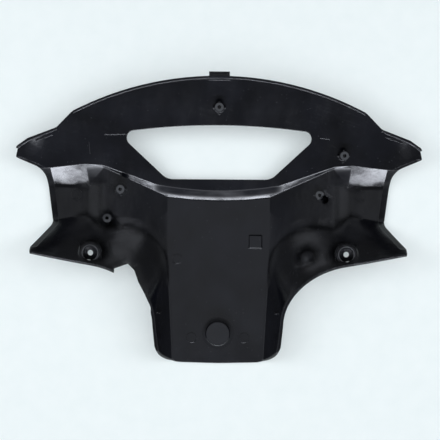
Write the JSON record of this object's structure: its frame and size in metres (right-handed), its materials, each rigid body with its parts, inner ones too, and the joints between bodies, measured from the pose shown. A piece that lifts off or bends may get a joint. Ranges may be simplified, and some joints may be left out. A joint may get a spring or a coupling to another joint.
{
  "type": "scooter handlebar cover",
  "caption": "Thin moulded handlebar cover with an instrument window, open arm troughs, a steering-column channel and screw bosses inside; one lower corner is broken away.",
  "frame": {"origin": "middle of the cover's box in plan, at the level of the flat it lies on with its hollow upward", "axes": "+X across the bar to the right as seen into the hollow, +Y from the chin up to the brow, +Z out of the hollow"},
  "size_m": [0.4138, 0.2947, 0.0569],
  "materials": {
    "shell": "black semi-gloss moulded plastic, lightly scuffed"
  },
  "bodies": {
    "root": {"handlebar_cover": "shell"}
  },
  "joints": []
}
